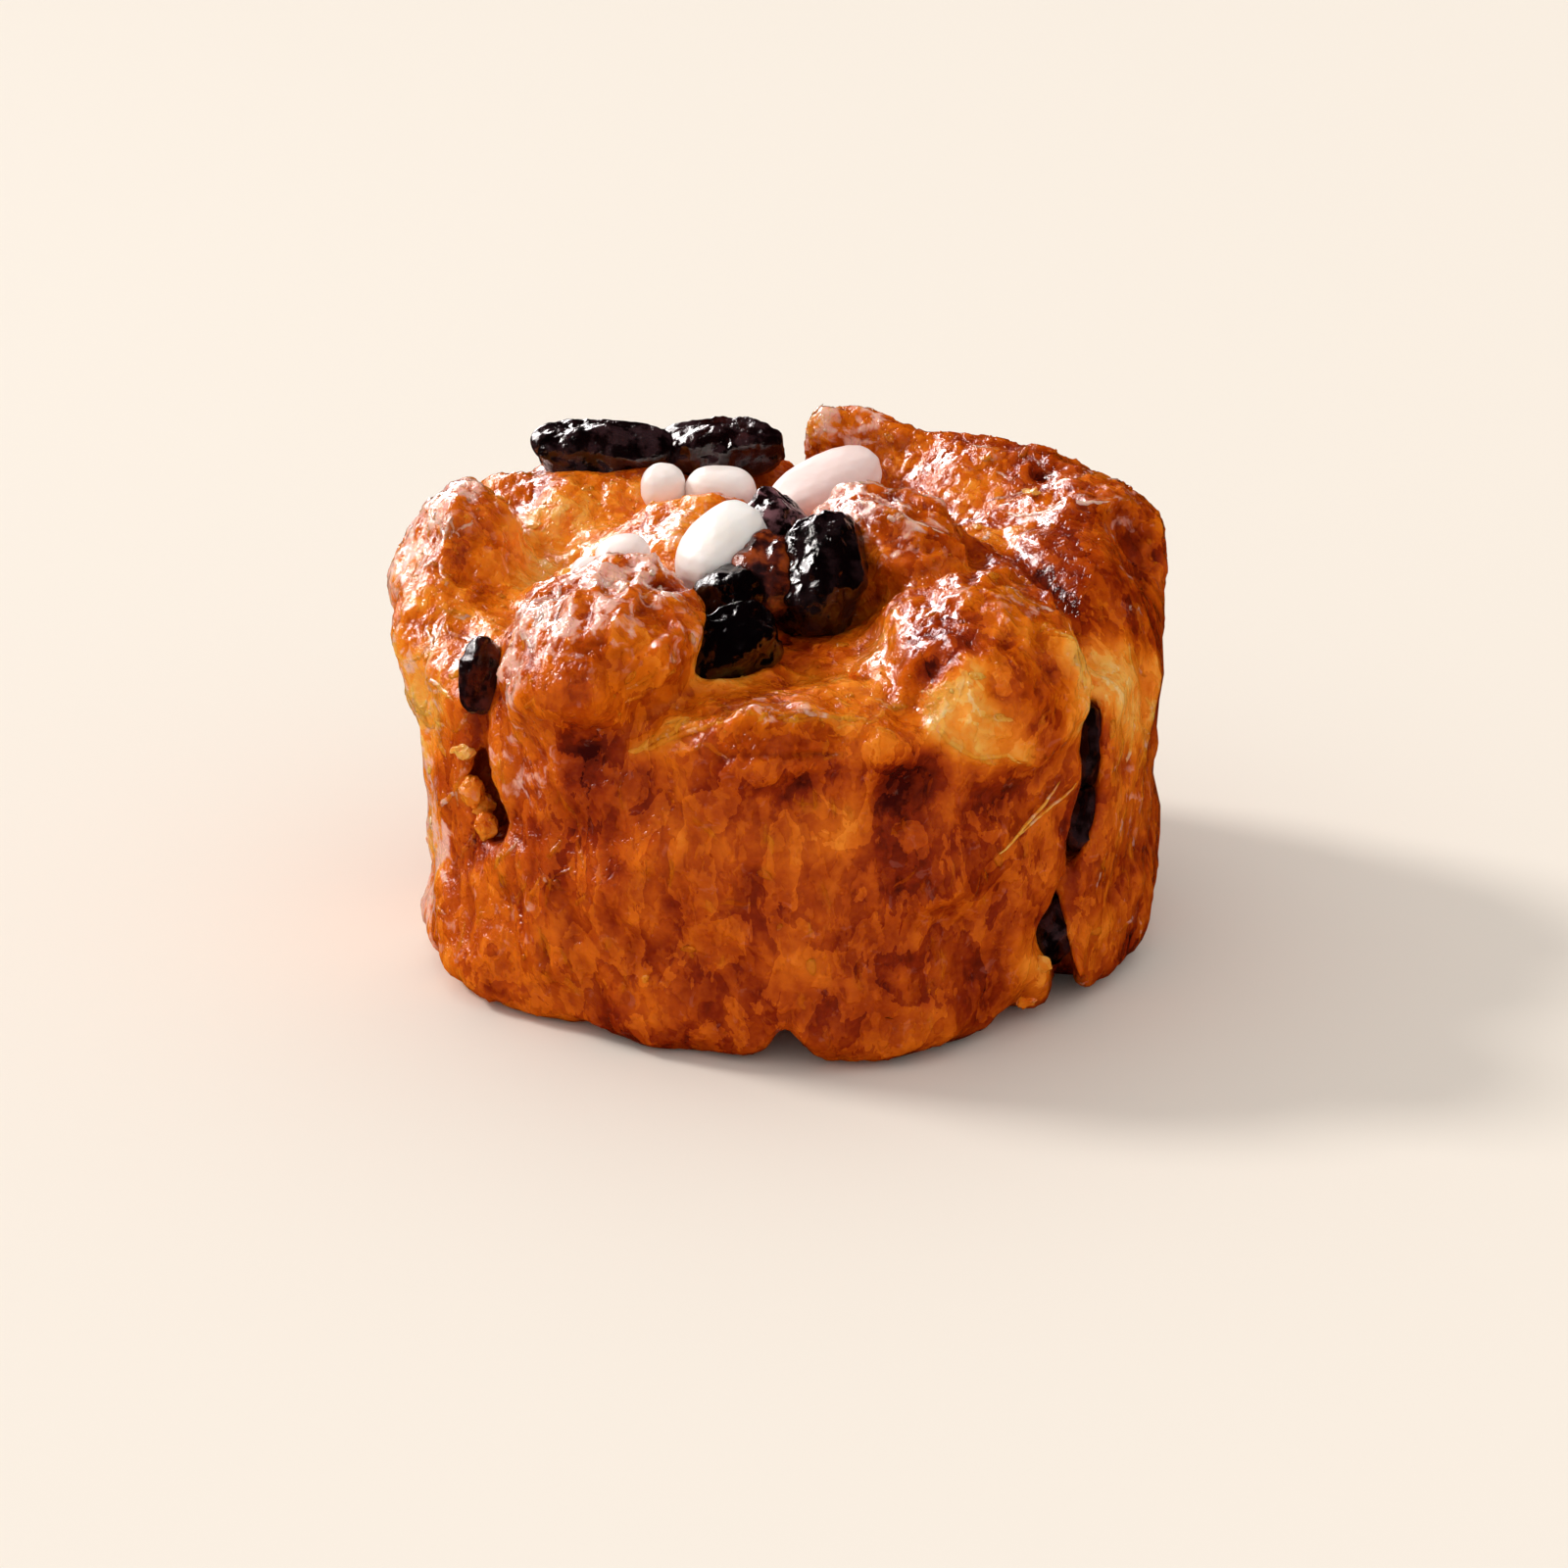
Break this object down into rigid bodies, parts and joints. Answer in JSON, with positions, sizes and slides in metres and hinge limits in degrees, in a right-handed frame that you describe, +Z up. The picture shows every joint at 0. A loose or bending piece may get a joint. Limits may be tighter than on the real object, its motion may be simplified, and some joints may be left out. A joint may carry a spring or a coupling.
{
  "type": "raisin croissant bun",
  "caption": "Round croissant bun of laminated dough baked in a ring mould, its glazed lobes risen over the rim, with raisins and pale nut kernels bedded in the top and in the gaps.",
  "frame": {"origin": "middle of the bun's outline on the plane that it stands on", "axes": "+Z up, the bun's height; -Y is the side that faces the viewer in the picture, with the raisins in front of the nuts; +X to that viewer's right"},
  "size_m": [0.1022, 0.0986, 0.0614],
  "materials": {
    "crust": "egg glazed golden brown crust",
    "raisin": "wrinkled black raisin skin under glaze",
    "nut": "smooth white kernel"
  },
  "bodies": {
    "root": {"dough": "crust", "raisin_tall": "raisin", "raisin_front": "raisin", "raisin_middle": "raisin", "raisin_small": "raisin", "raisin_under": "raisin", "raisin_back_long": "raisin", "raisin_back_short": "raisin", "raisin_left_gap": "raisin", "raisin_right_gap_top": "raisin", "raisin_right_gap_mid": "raisin", "raisin_right_gap_low": "raisin", "raisin_back_gap_a": "raisin", "raisin_back_gap_b": "raisin", "raisin_back_gap_c": "raisin", "nut_big": "nut", "nut_back_wide": "nut", "nut_back_round": "nut", "nut_long": "nut", "nut_left": "nut", "nut_left_small": "nut"}
  },
  "joints": []
}
